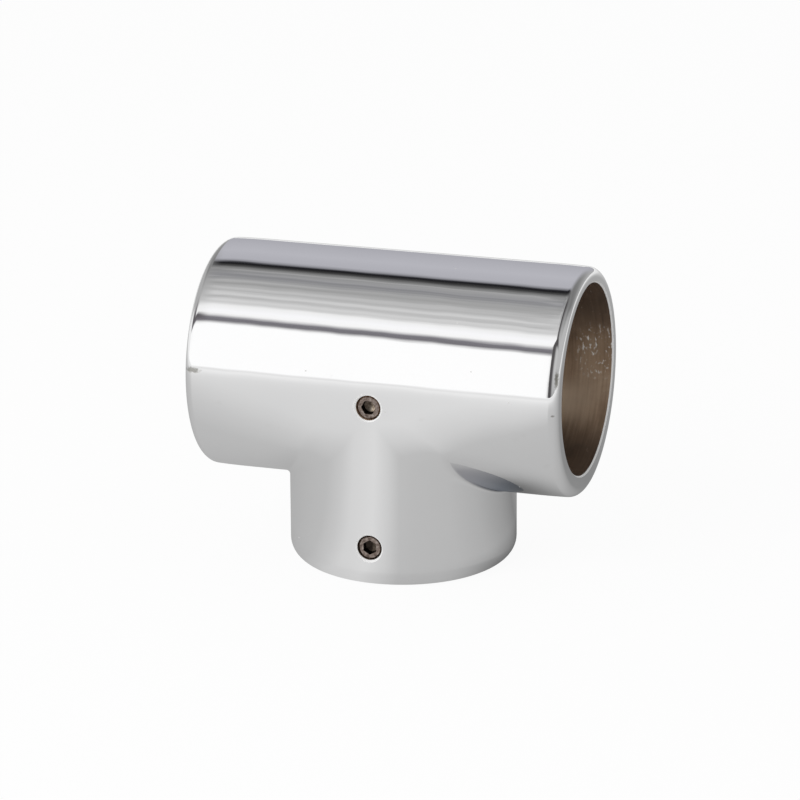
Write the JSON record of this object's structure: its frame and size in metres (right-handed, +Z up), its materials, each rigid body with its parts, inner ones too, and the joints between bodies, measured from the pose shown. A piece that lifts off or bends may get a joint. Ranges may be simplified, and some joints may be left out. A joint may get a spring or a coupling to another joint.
{
  "type": "tube clamp tee fitting",
  "caption": "Chrome-plated cast brass tee that holds one round tube square to another with hex socket set screws.",
  "frame": {"origin": "where the axis of the run bore crosses the axis of the stem", "axes": "+X along the run, +Z up and away from the stem, -Y to the front with the two set screws"},
  "size_m": [0.077, 0.0462, 0.0622],
  "materials": {
    "plated_brass": "polished chrome plate outside, bare brass in the bores",
    "screw_steel": "plain dark steel"
  },
  "bodies": {
    "fitting": {"tee_body": "plated_brass"},
    "run_screw": {"run_set_screw": "screw_steel"},
    "stem_screw": {"stem_set_screw": "screw_steel"}
  },
  "joints": [
    {"name": "run_screw_travel", "type": "slide", "parent": "fitting", "child": "run_screw", "axis": [0, 1, 0], "range_m": [-0.0005, 0.0015]},
    {"name": "stem_screw_travel", "type": "slide", "parent": "fitting", "child": "stem_screw", "axis": [0, 1, 0], "range_m": [-0.0005, 0.0015]}
  ]
}
